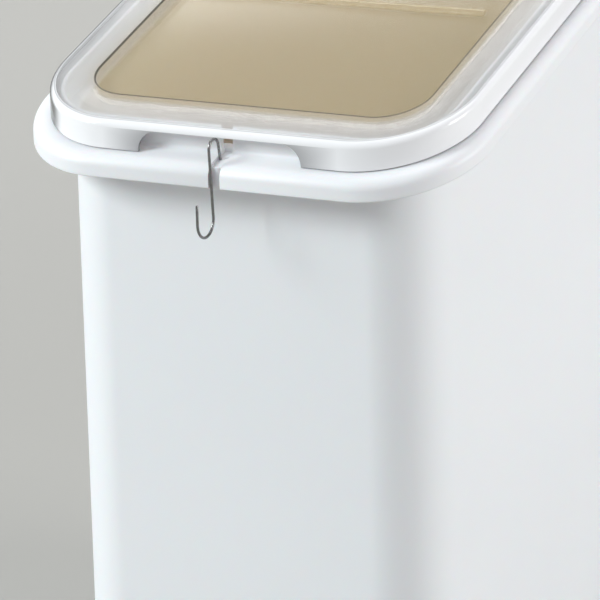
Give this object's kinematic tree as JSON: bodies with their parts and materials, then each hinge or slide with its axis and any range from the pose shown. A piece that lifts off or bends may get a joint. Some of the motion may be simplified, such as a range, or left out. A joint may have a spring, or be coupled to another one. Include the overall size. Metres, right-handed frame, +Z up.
{
  "type": "rolling ingredient bin",
  "caption": "White rolling rice bin with a slanted clear lid whose front half flips open, a finger cut-out, and a wire hook for the scoop.",
  "frame": {"origin": "on the floor, under the middle of the bin's overall width and length", "axes": "+Z up, front (finger cut-out and hook) towards -Y, +X to the right as seen from the front"},
  "size_m": [0.419, 0.773, 0.787],
  "materials": {
    "white_body": "satin white moulded polyethylene",
    "clear_lid": "clear polycarbonate",
    "stainless": "polished stainless wire",
    "cap_plastic": "push-on cap",
    "zinc_steel": "bright zinc-plated pressed steel",
    "wheel_plastic": "moulded wheel core",
    "tyre_rubber": "grey non-marking tread"
  },
  "bodies": {
    "bin": {"bin_body": "white_body", "caster_screws": "zinc_steel", "front_left_plate": "zinc_steel", "front_left_kingpin": "zinc_steel", "front_left_balls": "zinc_steel", "rear_left_fork": "zinc_steel", "rear_left_axle": "zinc_steel", "rear_left_axle_nut": "zinc_steel", "rear_left_sleeve": "zinc_steel", "front_right_plate": "zinc_steel", "front_right_kingpin": "zinc_steel", "front_right_balls": "zinc_steel", "rear_right_fork": "zinc_steel", "rear_right_axle": "zinc_steel", "rear_right_axle_nut": "zinc_steel", "rear_right_sleeve": "zinc_steel"},
    "lid_rear": {"rear_lid": "clear_lid", "hinge_rod": "stainless", "hinge_rod_caps": "cap_plastic"},
    "lid_front": {"front_lid": "clear_lid"},
    "hook": {"scoop_hook": "stainless"},
    "swivel_front_left": {"front_left_fork": "zinc_steel", "front_left_axle": "zinc_steel", "front_left_axle_nut": "zinc_steel", "front_left_sleeve": "zinc_steel"},
    "wheel_front_left": {"front_left_wheel": "wheel_plastic", "front_left_tyre": "tyre_rubber"},
    "wheel_rear_left": {"rear_left_wheel": "wheel_plastic", "rear_left_tyre": "tyre_rubber"},
    "swivel_front_right": {"front_right_fork": "zinc_steel", "front_right_axle": "zinc_steel", "front_right_axle_nut": "zinc_steel", "front_right_sleeve": "zinc_steel"},
    "wheel_front_right": {"front_right_wheel": "wheel_plastic", "front_right_tyre": "tyre_rubber"},
    "wheel_rear_right": {"rear_right_wheel": "wheel_plastic", "rear_right_tyre": "tyre_rubber"}
  },
  "joints": [
    {"name": "lid_lift", "type": "slide", "parent": "bin", "child": "lid_rear", "axis": [0, 0, 1], "range_m": [0, 0.06]},
    {"name": "lid_flip", "type": "hinge", "parent": "lid_rear", "child": "lid_front", "pos_m": [0, 0.12452, 0.781], "axis": [-1, 0, 0], "range_deg": [0, 200]},
    {"name": "hook_swing", "type": "hinge", "parent": "bin", "child": "hook", "pos_m": [-0.0022, -0.34447, 0.59711], "axis": [0, -0.2079, 0.9781], "range_deg": [-1, 20]},
    {"name": "front_left_swivel", "type": "hinge", "parent": "bin", "child": "swivel_front_left", "pos_m": [-0.1115, -0.23847, 0.094], "axis": [0, 0, 1], "continuous": true},
    {"name": "front_left_wheel_spin", "type": "hinge", "parent": "swivel_front_left", "child": "wheel_front_left", "pos_m": [-0.1115, -0.21047, 0.038], "axis": [1, 0, 0], "continuous": true},
    {"name": "rear_left_wheel_spin", "type": "hinge", "parent": "bin", "child": "wheel_rear_left", "pos_m": [-0.1115, 0.26253, 0.038], "axis": [1, 0, 0], "continuous": true},
    {"name": "front_right_swivel", "type": "hinge", "parent": "bin", "child": "swivel_front_right", "pos_m": [0.1115, -0.23847, 0.094], "axis": [0, 0, 1], "continuous": true},
    {"name": "front_right_wheel_spin", "type": "hinge", "parent": "swivel_front_right", "child": "wheel_front_right", "pos_m": [0.1115, -0.21047, 0.038], "axis": [1, 0, 0], "continuous": true},
    {"name": "rear_right_wheel_spin", "type": "hinge", "parent": "bin", "child": "wheel_rear_right", "pos_m": [0.1115, 0.26253, 0.038], "axis": [1, 0, 0], "continuous": true}
  ]
}
